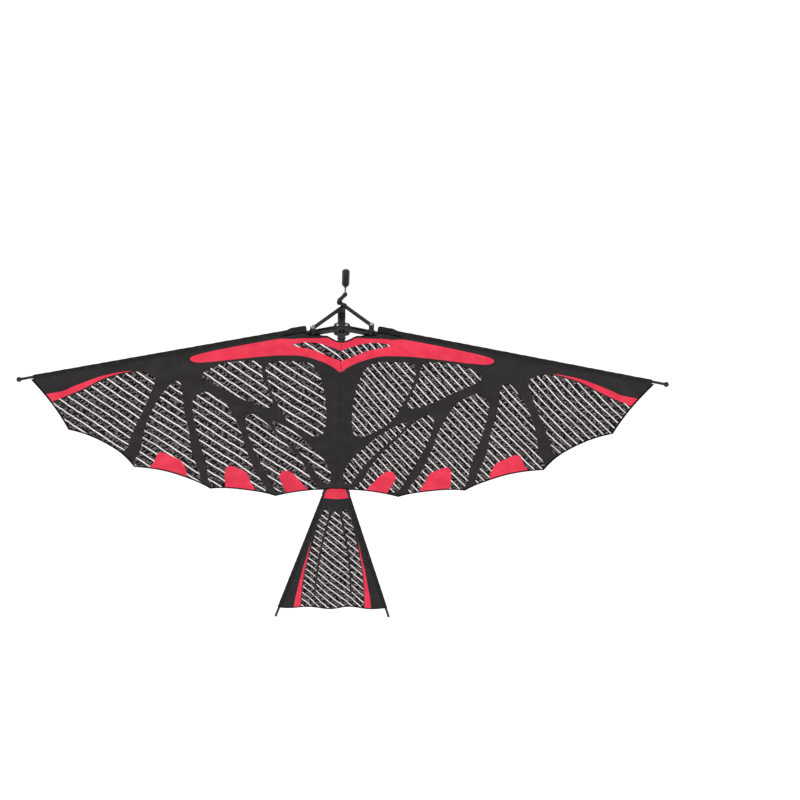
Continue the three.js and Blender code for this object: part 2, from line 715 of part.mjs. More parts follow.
// A round bar along one tail rod, between two stations on Y.
function alongTailRod(radius, y0, y1, side, sides = 16) {
  const start = new THREE.Vector3(side * tailRodX(y0), y0, TAIL_Z);
  const end = new THREE.Vector3(side * tailRodX(y1), y1, TAIL_Z);
  const length = start.distanceTo(end);
  const geometry = new THREE.CylinderGeometry(radius, radius, length, sides);
  geometry.rotateZ(-side * TAIL_HALF_ANGLE);
  geometry.translate((start.x + end.x) / 2, (y0 + y1) / 2, TAIL_Z);
  return geometry;
}

const earProfile = [
  rodAlongX(TAIL_PIVOT_Y, TAIL_Z, EAR_R, EAR_IN, EAR_OUT, 24),
  rodAlongX(TAIL_PIVOT_Y, TAIL_Z, EAR_R, -EAR_OUT, -EAR_IN, 24),
  box(EAR_IN, EAR_OUT, TAIL_PIVOT_Y, EAR_BACK_Y, TAIL_Z - 1.6, TAIL_Z + 1.6),
  box(-EAR_OUT, -EAR_IN, TAIL_PIVOT_Y, EAR_BACK_Y, TAIL_Z - 1.6, TAIL_Z + 1.6),
];
const WEB_FRONT_Y = TAIL_PIVOT_Y + 4.4;
const WEB_BACK_Y = BRACKET_END_Y - 1.5;
const webFrontX = tailRodX(TAIL_ROD_START_Y) + 0.8;
const webOutline = new THREE.Shape();
webOutline.moveTo(-EAR_OUT, WEB_FRONT_Y);
webOutline.lineTo(EAR_OUT, WEB_FRONT_Y);
webOutline.lineTo(webFrontX, TAIL_ROD_START_Y - 1.6);
webOutline.lineTo(tailRodX(WEB_BACK_Y), WEB_BACK_Y);
webOutline.quadraticCurveTo(0, WEB_BACK_Y - 12, -tailRodX(WEB_BACK_Y), WEB_BACK_Y);
webOutline.lineTo(-webFrontX, TAIL_ROD_START_Y - 1.6);
webOutline.closePath();
const WEB_THICK = 2;
const BRACKET_TUBE_R = 1.65;
const bracketWeb = new THREE.ExtrudeGeometry(webOutline, {
  depth: WEB_THICK,
  bevelEnabled: false,
  curveSegments: 8,
});
bracketWeb.translate(0, 0, TAIL_Z - WEB_THICK / 2);

paint('tail_bracket', carve([
  ...earProfile,
  bracketWeb,
  alongTailRod(BRACKET_TUBE_R, TAIL_ROD_START_Y - 2, BRACKET_END_Y, 1),
  alongTailRod(BRACKET_TUBE_R, TAIL_ROD_START_Y - 2, BRACKET_END_Y, -1),
], [
  rodAlongX(TAIL_PIVOT_Y, TAIL_Z, SCREW_R + FIT_GAP, -6, 6),
  alongTailRod(TAIL_ROD_R + FIT_GAP, TAIL_ROD_START_Y - 0.1, BRACKET_END_Y + 2, 1),
  alongTailRod(TAIL_ROD_R + FIT_GAP, TAIL_ROD_START_Y - 0.1, BRACKET_END_Y + 2, -1),
]), PLASTIC, 0.5, 0);

const screw = turnedY([
  [0, -EAR_OUT - 1.7],
  [1.2, -EAR_OUT - 1.6],
  [1.9, -EAR_OUT - 0.9],
  [1.9, -EAR_OUT - 0.05],
  [SCREW_R, -EAR_OUT - 0.05],
  [SCREW_R, EAR_OUT + 2.3],
  [0, EAR_OUT + 2.3],
], 0, 0, 20);
screw.rotateZ(-Math.PI / 2);
screw.translate(0, TAIL_PIVOT_Y, TAIL_Z);
paint('tail_pivot_screw', screw, STEEL, 0.3, 1);

const NUT_R = 2.2;
const NUT_THICK = 1.7;
const nutCorners = [];
for (let i = 0; i < 6; i += 1) {
  const angle = (i * Math.PI) / 3;
  nutCorners.push([NUT_R * Math.cos(angle), NUT_R * Math.sin(angle)]);
}
const nutOutline = polygon(nutCorners);
const nutBore = new THREE.Path();
nutBore.absarc(0, 0, SCREW_R + FIT_GAP, 0, 2 * Math.PI, true);
nutOutline.holes.push(nutBore);
const nut = new THREE.ExtrudeGeometry(nutOutline, {
  depth: NUT_THICK,
  bevelEnabled: false,
  curveSegments: 10,
});
nut.rotateY(Math.PI / 2);
nut.translate(EAR_OUT + 0.1, TAIL_PIVOT_Y, TAIL_Z);
paint('tail_pivot_nut', nut, STEEL, 0.35, 1);

for (const [side, suffix] of [[1, 'left'], [-1, 'right']]) {
  const rod = alongTailRod(TAIL_ROD_R, TAIL_ROD_START_Y, TAIL_END_Y, side, 14);
  paint(`tail_rod_${suffix}`, rod, CARBON, 0.4, 0);
}

const tailCloth = new THREE.Shape();
const TAIL_CLOTH_START_Y = ROOT_EDGE_Y + 1;
const TAIL_CLOTH_OVERHANG = 0.6;
const clothHalf = (y) => tailRodX(y) + TAIL_CLOTH_OVERHANG;
tailCloth.moveTo(-clothHalf(TAIL_CLOTH_START_Y), TAIL_CLOTH_START_Y);
tailCloth.lineTo(clothHalf(TAIL_CLOTH_START_Y), TAIL_CLOTH_START_Y);
tailCloth.lineTo(clothHalf(TAIL_CLOTH_END_Y), TAIL_CLOTH_END_Y);
tailCloth.quadraticCurveTo(0, TAIL_CLOTH_END_Y + 2.4, -clothHalf(TAIL_CLOTH_END_Y), TAIL_CLOTH_END_Y);
tailCloth.closePath();
paint('tail_membrane', sheetXY(tailCloth, TAIL_Z + TAIL_CLOTH_LIFT - CLOTH_THICK / 2), CLOTH, 0.9, 0);

export default group;
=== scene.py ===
"""Rubber-powered flapping bird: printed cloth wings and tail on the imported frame."""
import math

import bmesh
import bpy
from mathutils import Matrix, Vector
from mathutils.geometry import delaunay_2d_cdt


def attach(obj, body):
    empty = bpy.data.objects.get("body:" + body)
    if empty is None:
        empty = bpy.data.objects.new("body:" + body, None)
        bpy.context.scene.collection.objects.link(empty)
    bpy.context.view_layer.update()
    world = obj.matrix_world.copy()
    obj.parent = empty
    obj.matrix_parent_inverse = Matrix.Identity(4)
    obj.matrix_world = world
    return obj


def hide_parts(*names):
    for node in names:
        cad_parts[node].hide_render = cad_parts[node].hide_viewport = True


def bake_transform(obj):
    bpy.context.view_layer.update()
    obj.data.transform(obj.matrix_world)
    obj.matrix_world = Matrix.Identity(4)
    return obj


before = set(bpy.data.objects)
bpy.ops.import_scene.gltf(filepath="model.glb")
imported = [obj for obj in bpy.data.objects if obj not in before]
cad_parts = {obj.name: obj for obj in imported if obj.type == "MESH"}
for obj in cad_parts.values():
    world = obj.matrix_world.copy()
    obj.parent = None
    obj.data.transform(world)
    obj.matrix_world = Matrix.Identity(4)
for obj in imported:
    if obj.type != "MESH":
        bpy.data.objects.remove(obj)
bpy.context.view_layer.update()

MM = 0.001

# The frame, in millimetres. Y is measured from the wing spars' line until to_metres().
SPAR_LINE_Y = -9.95
HINGE_X = 3.2
HINGE_Z = 19.8
CRANK_Z = 3.8
REST_ANGLE = math.radians(14.0)
SEAM_Z = 19.8
ROOT_EDGE = 175.9
NOTCH = 20.3
TIP_S = 228.0
SLEEVE_START = 26.4
SLEEVE_END = 227.0
SLEEVE_STEPS = 132
STITCH_START = 47.0
STITCH_END_S = 224.0
CLOTH_THICK = 0.22

# The tape that covers the centre seam.
TAPE_STEP = 2.0
TAPE_STEPS = 78
TAPE_HALF = 2.6

TAIL_ROD_Z = 11.8
TAIL_APEX_Y = 156.2
TAIL_SLOPE = math.tan(math.radians(13.7))
TAIL_LENGTH = 138.9
BRACKET_END_Y = 191.9
TAIL_SLEEVE_STEPS = 71
TAIL_STITCH_Y = range(197, 314, 2)

# Printed hatching.
HATCH_ACROSS = (0.766, 0.643)
HATCH_ALONG = (-0.643, 0.766)
WING_HATCH_PITCH = 5.9
TAIL_HATCH_PITCH = 4.6

# Material slots of a printed cloth.
CHARCOAL, RED, HATCH = range(3)


def to_metres(point):
    x, y, z = point
    return Vector((x, y + SPAR_LINE_Y, z)) * MM


def smoothstep(value, low=0.0, high=1.0):
    t = min(1.0, max(0.0, (value - low) / (high - low)))
    return t * t * (3.0 - 2.0 * t)


# ---- camera ------------------------------------------------------------------------
LENS = 800.0
SENSOR = 36.0
VIEW_WIDTH = 0.5764
VIEW_TILT = math.radians(42.2)
VIEW_TURN = math.radians(2.0)
VIEW_ROLL = math.radians(-0.9)
TARGET = Vector((-0.0446, 0.1054, -0.0112))


def add_camera():
    """A long lens above the bird's nose, held so that the nose points up the picture."""
    data = bpy.data.cameras.new("camera")
    data.lens = LENS
    data.sensor_width = SENSOR
    data.clip_start = 0.5
    data.clip_end = 50.0
    camera = bpy.data.objects.new("camera", data)
    bpy.context.scene.collection.objects.link(camera)
    level = Vector((math.sin(VIEW_TURN), -math.cos(VIEW_TURN), 0.0))
    back = level * math.cos(VIEW_TILT) + Vector((0.0, 0.0, math.sin(VIEW_TILT)))
    right = Vector((-math.cos(VIEW_TURN), -math.sin(VIEW_TURN), 0.0))
    up = back.cross(right)
    rolled_right = right * math.cos(VIEW_ROLL) + up * math.sin(VIEW_ROLL)
    rolled_up = up * math.cos(VIEW_ROLL) - right * math.sin(VIEW_ROLL)
    place = TARGET + back * (VIEW_WIDTH * LENS / SENSOR)
    turn = Matrix((rolled_right, rolled_up, back)).transposed()
    camera.matrix_world = Matrix.Translation(place) @ turn.to_4x4()
    bpy.context.scene.camera = camera


add_camera()


# ---- materials ---------------------------------------------------------------------
class Shader:
    """A material under construction, with short calls for the nodes it needs."""

    def __init__(self, name, base, roughness, metallic=0.0):
        self.material = bpy.data.materials.new(name)
        self.material.use_nodes = True
        self.tree = self.material.node_tree
        self.bsdf = self.tree.nodes["Principled BSDF"]
        self.set(**{"Base Color": (*base, 1.0), "Roughness": roughness, "Metallic": metallic})

    def set(self, **values):
        for socket, value in values.items():
            self.bsdf.inputs[socket].default_value = value

    def link(self, output, socket):
        self.tree.links.new(output, socket)

    def node(self, kind, **inputs):
        made = self.tree.nodes.new(kind)
        for socket, value in inputs.items():
            self.feed(made, socket, value)
        return made

    def feed(self, made, socket, value):
        key = int(socket[1:]) if socket[0] == "i" and socket[1:].isdigit() else socket
        target = made.inputs[key]
        if isinstance(value, bpy.types.NodeSocket):
            self.link(value, target)
        else:
            target.default_value = value

    def math(self, operation, first, second=0.0, third=0.0):
        made = self.node("ShaderNodeMath", i0=first, i1=second)
        made.operation = operation
        if operation == "MULTIPLY_ADD":
            self.feed(made, "i2", third)
        return made.outputs[0]

    def ramp(self, value, low, high, out_low=0.0, out_high=1.0):
        made = self.node("ShaderNodeMapRange", i0=value, i1=low, i2=high, i3=out_low, i4=out_high)
        made.interpolation_type = "SMOOTHSTEP"
        return made.outputs[0]

    def noise(self, vector, scale, detail=3.0, roughness=0.55):
        made = self.node("ShaderNodeTexNoise", Scale=scale, Detail=detail, Roughness=roughness)
        self.link(vector, made.inputs["Vector"])
        return made.outputs["Fac"]

    def mix(self, factor, first, second):
        made = self.tree.nodes.new("ShaderNodeMix")
        made.data_type = "RGBA"
        sockets = [s for s in made.inputs if s.type == "RGBA"]
        self.feed_socket(made.inputs[0], factor)
        self.feed_socket(sockets[0], first)
        self.feed_socket(sockets[1], second)
        return [s for s in made.outputs if s.type == "RGBA"][0]

    def feed_socket(self, target, value):
        if isinstance(value, bpy.types.NodeSocket):
            self.link(value, target)
        elif isinstance(value, tuple):
            target.default_value = (*value, 1.0)
        else:
            target.default_value = value

    def place(self):
        return self.node("ShaderNodeTexCoord").outputs["Object"]

    def stretched(self, vector, scale):
        made = self.node("ShaderNodeMapping", Vector=vector)
        made.inputs["Scale"].default_value = scale
        return made.outputs["Vector"]

    def bump(self, height, strength, distance, edge_radius=0.0):
        """Relief on the surface, over edges that look rounded when edge_radius is given."""
        made = self.node("ShaderNodeBump", Strength=strength, Distance=distance, Height=height)
        if edge_radius:
            rounded = self.node("ShaderNodeBevel", Radius=edge_radius)
            self.link(rounded.outputs["Normal"], made.inputs["Normal"])
        self.link(made.outputs["Normal"], self.bsdf.inputs["Normal"])

    def colour(self, output):
        self.link(output, self.bsdf.inputs["Base Color"])

    def rough(self, output):
        self.link(output, self.bsdf.inputs["Roughness"])


THREAD_PITCH = 0.42 * MM


def weave(shader, u, v):
    """Height of a plain weave, from 0 to 1."""
    turn = 2.0 * math.pi / THREAD_PITCH
    warp = shader.math("SINE", shader.math("MULTIPLY", u, turn))
    weft = shader.math("SINE", shader.math("MULTIPLY", v, turn))
    crossing = shader.math("MULTIPLY", warp, weft)
    return shader.math("MULTIPLY_ADD", crossing, 0.5, 0.5)


def cloth_shader(name, base, roughness=0.78):
    shader = Shader(name, base, roughness)
    shader.set(**{"Specular IOR Level": 0.04, "Sheen Weight": 0.02, "Sheen Roughness": 0.45})
    uv = shader.node("ShaderNodeUVMap")
    uv.uv_map = "cloth"
    flat = uv.outputs["UV"]
    split = shader.node("ShaderNodeSeparateXYZ", i0=flat)
    return shader, flat, split.outputs[0], split.outputs[1]


def finish_cloth(shader, flat, u, v, colour):
    """Adds what every printed cloth shares: weave, thread shading and soft creases."""
    threads = weave(shader, u, v)
    shade = shader.math("MULTIPLY_ADD", threads, 0.22, 0.86)
    wear = shader.ramp(shader.noise(flat, 38.0), 0.3, 0.75, 0.9, 1.1)
    tone = shader.math("MULTIPLY", shade, wear)
    mixed = shader.node("ShaderNodeVectorMath", i0=colour)
    mixed.operation = "SCALE"
    shader.feed(mixed, "Scale", tone)
    shader.colour(mixed.outputs[0])
    creases = shader.noise(shader.stretched(flat, (1.0, 0.35, 1.0)), 55.0, 4.0)
    height = shader.math("MULTIPLY_ADD", creases, 4.0, threads)
    shader.bump(height, 0.35, 0.12 * MM)
    shader.rough(shader.ramp(creases, 0.25, 0.8, 0.7, 0.86))
    return shader.material


def plain_cloth(name, base, pale):
    shader, flat, u, v = cloth_shader(name, base)
    blotch = shader.ramp(shader.noise(flat, 90.0, 5.0), 0.35, 0.8)
    return finish_cloth(shader, flat, u, v, shader.mix(blotch, base, pale))


def hatched_cloth(name, pitch):
    """Near-black cloth printed with slanting pale lines and small checks between them."""
    dark = (0.0035, 0.0028, 0.003)
    grey = (0.27, 0.235, 0.245)
    pale = (0.98, 0.93, 0.93)
    shader, flat, u, v = cloth_shader(name, dark)
    scale = 1.0 / (pitch * MM)
    wander = shader.math("MULTIPLY_ADD", shader.noise(flat, 150.0, 2.0), 0.2, -0.1)
    slant = shader.math("MULTIPLY", u, HATCH_ACROSS[0] * scale)
    phase = shader.math("MULTIPLY_ADD", v, HATCH_ACROSS[1] * scale, slant)
    phase = shader.math("ADD", phase, wander)
    along = shader.math("MULTIPLY", u, HATCH_ALONG[0] * scale)
    run = shader.math("MULTIPLY_ADD", v, HATCH_ALONG[1] * scale, along)
    from_line = shader.math("PINGPONG", phase, 0.5)
    speckle = shader.ramp(shader.noise(flat, 1300.0, 2.0), 0.36, 0.6, 0.3, 1.0)
    line = shader.math("MULTIPLY", shader.ramp(from_line, 0.055, 0.13, 1.0, 0.0), speckle)
    dash = shader.ramp(shader.math("PINGPONG", shader.math("MULTIPLY", run, 3.4), 0.5), 0.18, 0.32)
    rung = shader.ramp(from_line, 0.16, 0.24)
    patch = shader.ramp(shader.noise(flat, 420.0, 3.0), 0.46, 0.6)
    check = shader.math("MULTIPLY", shader.math("MULTIPLY", dash, rung), patch)
    print_colour = shader.mix(check, dark, grey)
    print_colour = shader.mix(line, print_colour, pale)
    return finish_cloth(shader, flat, u, v, print_colour)


def moulded(name, base, roughness, grain=2600.0, depth=0.03, shine=0.28):
    shader = Shader(name, base, roughness)
    shader.set(**{"Specular IOR Level": shine})
    spot = shader.place()
    skin = shader.noise(spot, grain, 2.0)
    handled = shader.noise(spot, 260.0, 4.0)
    tint = tuple(min(1.0, c * 1.9 + 0.004) for c in base)
    shader.colour(shader.mix(shader.ramp(handled, 0.45, 0.8), base, tint))
    shader.rough(shader.ramp(handled, 0.25, 0.75, roughness - 0.07, roughness + 0.12))
    shader.bump(skin, 0.4, depth * MM, edge_radius=0.2 * MM)
    return shader.material


def drawn_metal(name, base, roughness, direction):
    shader = Shader(name, base, roughness, metallic=1.0)
    spot = shader.place()
    streaks = shader.noise(shader.stretched(spot, direction), 900.0, 3.0)
    stain = shader.noise(spot, 420.0, 4.0)
    dull = tuple(c * 0.62 for c in base)
    shader.colour(shader.mix(shader.ramp(stain, 0.45, 0.85), base, dull))
    shader.rough(shader.ramp(streaks, 0.2, 0.8, roughness - 0.08, roughness + 0.15))
    shader.bump(streaks, 0.3, 0.01 * MM, edge_radius=0.1 * MM)
    return shader.material


def carbon(name, direction):
    """Pultruded carbon: fibre streaks along the rod under a thin resin coat."""
    base = (0.006, 0.006, 0.0065)
    shader = Shader(name, base, 0.42)
    shader.set(**{"Coat Weight": 0.08, "Coat Roughness": 0.3, "Specular IOR Level": 0.2})
    fibres = shader.noise(shader.stretched(shader.place(), direction), 2200.0, 4.0)
    shader.colour(shader.mix(shader.ramp(fibres, 0.4, 0.8), base, (0.022, 0.022, 0.024)))
    shader.rough(shader.ramp(fibres, 0.3, 0.7, 0.34, 0.52))
    shader.bump(fibres, 0.25, 0.02 * MM)
    return shader.material


def rubber(name):
    base = (0.34, 0.255, 0.15)
    shader = Shader(name, base, 0.62)
    shader.set(**{"Specular IOR Level": 0.35})
    spot = shader.place()
    dust = shader.noise(spot, 500.0, 5.0)
    ribs = shader.noise(shader.stretched(spot, (1.0, 0.06, 1.0)), 1500.0, 2.0)
    shader.colour(shader.mix(shader.ramp(dust, 0.4, 0.75), base, (0.46, 0.38, 0.26)))
    shader.rough(shader.ramp(dust, 0.3, 0.7, 0.55, 0.75))
    shader.bump(ribs, 0.3, 0.03 * MM)
    return shader.material


CHARCOAL_CLOTH = plain_cloth("charcoal_cloth", (0.0205, 0.0185, 0.0187), (0.028, 0.0255, 0.0258))
RED_CLOTH = plain_cloth("red_cloth", (0.643, 0.031, 0.065), (0.74, 0.05, 0.09))
WING_HATCH = hatched_cloth("wing_hatch_cloth", WING_HATCH_PITCH)
TAIL_HATCH = hatched_cloth("tail_hatch_cloth", TAIL_HATCH_PITCH)
HEM_CLOTH = moulded("hem_binding", (0.004, 0.0038, 0.004), 0.8, grain=5200.0, depth=0.06, shine=0.04)
CHARCOAL_SLEEVE = moulded("sleeve_cloth", (0.011, 0.0105, 0.011), 0.8, grain=5200.0, depth=0.06,
                          shine=0.1)
THREAD = moulded("stitch_thread", (0.035, 0.033, 0.034), 0.72, grain=6000.0, depth=0.04)
BLACK_PLASTIC = moulded("black_nylon", (0.006, 0.006, 0.0065), 0.46)
GRIP_PLASTIC = moulded("grip_plastic", (0.006, 0.006, 0.0065), 0.34, grain=1500.0, depth=0.012)
BEAD_GLASS = moulded("bead_plastic", (0.02, 0.02, 0.024), 0.2, grain=1200.0, depth=0.008)
STEEL = drawn_metal("steel_wire", (0.34, 0.34, 0.35), 0.32, (1.0, 0.05, 1.0))
DARK_STEEL = drawn_metal("blackened_steel", (0.07, 0.07, 0.074), 0.4, (1.0, 0.2, 1.0))
CARBON_X = carbon("carbon_spar", (0.03, 1.0, 1.0))
CARBON_Y = carbon("carbon_stick", (1.0, 0.03, 1.0))
RUBBER = rubber("rubber_band")


# ---- mesh building -----------------------------------------------------------------
def add_object(name, mesh, materials):
    for material in materials:
        mesh.materials.append(material)
    made = bpy.data.objects.new(name, mesh)
    bpy.context.scene.collection.objects.link(made)
    return made


def loft(name, rings, material, loop=False):
    """Skins a list of rings of points, given in millimetres, and closes the ends."""
    size = len(rings[0])
    count = len(rings)
    points = [to_metres(p) for ring in rings for p in ring]
    faces = []
    for i in range(count if loop else count - 1):
        for k in range(size):
            after = (k + 1) % size
            low = i * size
            high = ((i + 1) % count) * size
            faces.append((low + k, low + after, high + after, high + k))
    if not loop:
        faces.append(tuple(range(size - 1, -1, -1)))
        faces.append(tuple(range((count - 1) * size, count * size)))
    mesh = bpy.data.meshes.new(name)
    mesh.from_pydata(points, [], faces)
    face_out(mesh)
    for polygon in mesh.polygons:
        polygon.use_smooth = len(polygon.vertices) == 4
    return add_object(name, mesh, [material])


def face_out(mesh):
    shape = bmesh.new()
    shape.from_mesh(mesh)
    bmesh.ops.recalc_face_normals(shape, faces=shape.faces)
    shape.to_mesh(mesh)
    shape.free()


def curve_through(points, step, closed=False):
    """Points of a Catmull-Rom curve through the given 2-D points, about step apart."""
    count = len(points)
    result = []
    spans = count if closed else count - 1
    for i in range(spans):
        if closed:
            p0, p1, p2, p3 = (points[(i + k) % count] for k in (-1, 0, 1, 2))
        else:
            p0 = points[max(i - 1, 0)]
            p1 = points[i]
            p2 = points[i + 1]
            p3 = points[min(i + 2, count - 1)]
        pieces = max(1, round(math.dist(p1, p2) / step))
        for k in range(pieces):
            t = k / pieces
            result.append(tuple(
                0.5 * (2 * b + (c - a) * t + (2 * a - 5 * b + 4 * c - d) * t * t
                       + (3 * b - a - 3 * c + d) * t ** 3)
                for a, b, c, d in zip(p0, p1, p2, p3)
            ))
    if not closed:
        result.append(tuple(points[-1]))
    return result


def inside(point, loop):
    x, y = point
    hit = False
    previous = loop[-1]
    for current in loop:
        if (current[1] > y) != (previous[1] > y):
            cross = previous[0] - current[0]
            cross = cross * (y - current[1]) / (previous[1] - current[1]) + current[0]
            if x < cross:
                hit = not hit
        previous = current
    return hit


class Region:
    """One printed area: a loop on the flat cloth and the material slot it carries."""

    def __init__(self, loop, material_slot):
        self.loop = loop
        self.slot = material_slot
        self.low = [min(p[k] for p in loop) for k in (0, 1)]
        self.high = [max(p[k] for p in loop) for k in (0, 1)]

    def holds(self, point):
        for k in (0, 1):
            if not self.low[k] <= point[k] <= self.high[k]:
                return False
        return inside(point, self.loop)


def flat_print(outline, regions, spacing):
    """Triangulates a flat cloth along the edges of its print.

    Returns the flat points, and each triangle with the slot it carries."""
    points = []
    edges = []
    for loop in [outline] + [region.loop for region in regions]:
        first = len(points)
        points.extend(Vector(p) for p in loop)
        edges.extend((first + i, first + (i + 1) % len(loop)) for i in range(len(loop)))
    whole = Region(outline, CHARCOAL)
    row_height = spacing * math.sqrt(3.0) / 2.0
    rows = int((whole.high[1] - whole.low[1]) / row_height) + 1
    columns = int((whole.high[0] - whole.low[0]) / spacing) + 1
    for row in range(rows):
        for column in range(columns):
            x = whole.low[0] + (column + 0.5 * (row % 2)) * spacing
            spot = (x, whole.low[1] + row * row_height)
            if whole.holds(spot):
                points.append(Vector(spot))
    made = delaunay_2d_cdt(points, edges, [], 0, 1e-4)
    flat_points = [tuple(p) for p in made[0]]
    triangles = []
    for face in made[2]:
        centre = tuple(sum(flat_points[i][k] for i in face) / 3.0 for k in (0, 1))
        if not whole.holds(centre):
            continue
        slot = CHARCOAL
        for region in regions:
            if region.holds(centre):
                slot = region.slot
        triangles.append((face, slot))
    return flat_points, triangles


def cloth_mesh(name, flat, place, side, materials, turn_over=False):
    """Lifts a flat print into space; place gives each flat point's position."""
    flat_points, triangles = flat
    mesh = bpy.data.meshes.new(name)
    corners = []
    for x, y in flat_points:
        px, py, pz = place(x, y)
        corners.append(to_metres((side * px, py, pz)))
    flip = (side < 0) != turn_over
    faces = [tuple(reversed(face)) if flip else tuple(face) for face, _ in triangles]
    mesh.from_pydata(corners, [], faces)
    for polygon, (_, slot) in zip(mesh.polygons, triangles):
        polygon.material_index = slot
        polygon.use_smooth = True
    layer = mesh.uv_layers.new(name="cloth")
    for loop in mesh.loops:
        x, y = flat_points[loop.vertex_index]
        layer.data[loop.index].uv = (side * x * MM, y * MM)
    shape = bmesh.new()
    shape.from_mesh(mesh)
    loose = [v for v in shape.verts if not v.link_faces]
    bmesh.ops.delete(shape, geom=loose, context="VERTS")
    shape.to_mesh(mesh)
    shape.free()
    return add_object(name, mesh, materials)


def thicken(piece, thickness):
    solid = piece.modifiers.new("thickness", "SOLIDIFY")
    solid.thickness = thickness * MM
    solid.offset = 0.0
    solid.use_even_offset = True
    bake_modifiers(piece)


def bake_modifiers(piece):
    graph = bpy.context.evaluated_depsgraph_get()
    done = bpy.data.meshes.new_from_object(piece.evaluated_get(graph))
    piece.modifiers.clear()
    old = piece.data
    piece.data = done
    bpy.data.meshes.remove(old)


# ---- wing cloth --------------------------------------------------------------------
COS_REST = math.cos(REST_ANGLE)
SIN_REST = math.sin(REST_ANGLE)

# Trailing edge from the tip to the centre line: [s, d, depth of the scallop before it].
SCALLOPS = [
    (200.0, 62.8, 1.6),
    (151.0, 115.0, 5.8),
    (94.0, 153.6, 4.8),
    (45.4, 173.4, 3.4),
    (9.5, ROOT_EDGE, 1.5),
]


def scallop(start, end, depth, step=2.2):
    """Points from just after start to end along a shallow arc that bows inwards."""
    pieces = max(2, round(math.dist(start, end) / step))
    across = Vector((end[1] - start[1], start[0] - end[0])).normalized()
    if across.dot(Vector((90.0, 60.0)) - Vector(start)) < 0:
        across.negate()
    result = []
    for i in range(1, pieces + 1):
        t = i / pieces
        bow = 4.0 * depth * t * (1.0 - t)
        spot = Vector(start).lerp(Vector(end), t) + across * bow
        result.append(tuple(spot))
    return result


def trailing_edge():
    edge = [(TIP_S, 2.4)]
    for s, d, depth in SCALLOPS:
        edge.extend(scallop(edge[-1], (s, d), depth))
    edge.extend(scallop(edge[-1], (0.0, ROOT_EDGE + 0.6), 0.05))
    return edge


TRAILING = trailing_edge()
NOTCH_EDGE = curve_through([(0.0, NOTCH), (4.0, 18.8), (8.5, 14.4), (13.0, 9.6), (17.3, 6.8),
                            (21.5, 5.7), (24.8, 4.4), (27.6, 1.6), (31.0, 0.6), (36.0, 0.8),
                            (41.5, 2.2), (46.5, 2.5)], 1.6)
LEADING_EDGE_D = 2.5
LEADING = [(46.5 + 3.0 * i, LEADING_EDGE_D) for i in range(1, 61)]


def chord(s):
    """Depth of the cloth behind the spar at s."""
    for (s1, d1), (s0, d0) in zip(TRAILING, TRAILING[1:]):
        if s0 <= s <= s1:
            return d0 + (d1 - d0) * (s - s0) / max(1e-6, s1 - s0)
    return ROOT_EDGE if s < 10 else LEADING_EDGE_D


CHORDS_PER_MM = 2
LAST_CHORD = round(CHORDS_PER_MM * TIP_S)
CHORDS = [chord(i / CHORDS_PER_MM) for i in range(LAST_CHORD + 1)]


def wing_relief(s, d):
    """Height of the loose cloth above the flat wing, in millimetres."""
    across = CHORDS[min(LAST_CHORD, max(0, round(CHORDS_PER_MM * s)))]
    part = min(1.0, d / max(across, 8.0))
    fade = smoothstep(s, 2.0, 45.0) * (1.0 - smoothstep(s, 150.0, 232.0))
    camber = 2.4 * math.sin(math.pi * min(part, 1.0) ** 0.8) * fade
    angle = math.atan2(d - 4.0, s - 14.0)
    reach = math.hypot(d, s) / 200.0
    folds = math.sin(15.0 * angle + 0.8) + 0.6 * math.sin(24.0 * angle + 2.1 + 1.3 * reach)
    pull = 0.42 * folds * smoothstep(part, 0.1, 1.0) * smoothstep(s, 4.0, 40.0)
    ripple = 0.22 * math.sin(0.085 * s + 0.06 * d) * math.sin(0.11 * d - 0.03 * s + 1.0)
    return camber + pull + ripple * smoothstep(s, 2.0, 20.0) * smoothstep(d, 4.0, 20.0)


def over_arm(s, d):
    """Rise of the cloth where it is stuck down on the wing's plastic arm."""
    along = smoothstep(s, 9.0, 14.5) * (1.0 - smoothstep(s, 36.0, 46.0))
    return 2.3 * along * (1.0 - smoothstep(d, 7.4, 15.0))


def on_wing(s, d, height=0.0):
    """Place of a point of the left wing: s from the seam, d behind the spar's axis."""
    along = s - HINGE_X
    x = HINGE_X + along * COS_REST - height * SIN_REST
    z = HINGE_Z + along * SIN_REST + height * COS_REST
    near_seam = 1.0 - smoothstep(s, 0.0, 7.0)
    x *= 1.0 - near_seam * smoothstep(3.0 - s, 0.0, 3.0)
    return x, d, z + (SEAM_Z - z + height) * near_seam


def wing_cloth_place(s, d):
    return on_wing(s, d, wing_relief(s, d) + over_arm(s, d))


def extended(point, away=(90.0, 60.0), by=7.0):
    """Pushes an outline point past the cloth's edge, so that the print runs off it."""
    out = Vector(point) - Vector(away)
    return tuple(Vector(point) + out.normalized() * by)


# The print is drawn for a slightly deeper wing and drawn in by this share.
PRINT_DEPTH = 0.966


def region(points, slot, off_edge=(), step=2.4):
    """A printed area; off_edge lists the points that lie past the cloth's edge."""
    scaled = [(s, d * PRINT_DEPTH) for s, d in points]
    loop = [extended(p) if i in off_edge else p for i, p in enumerate(scaled)]
    return Region(curve_through(loop, step, closed=True), slot)


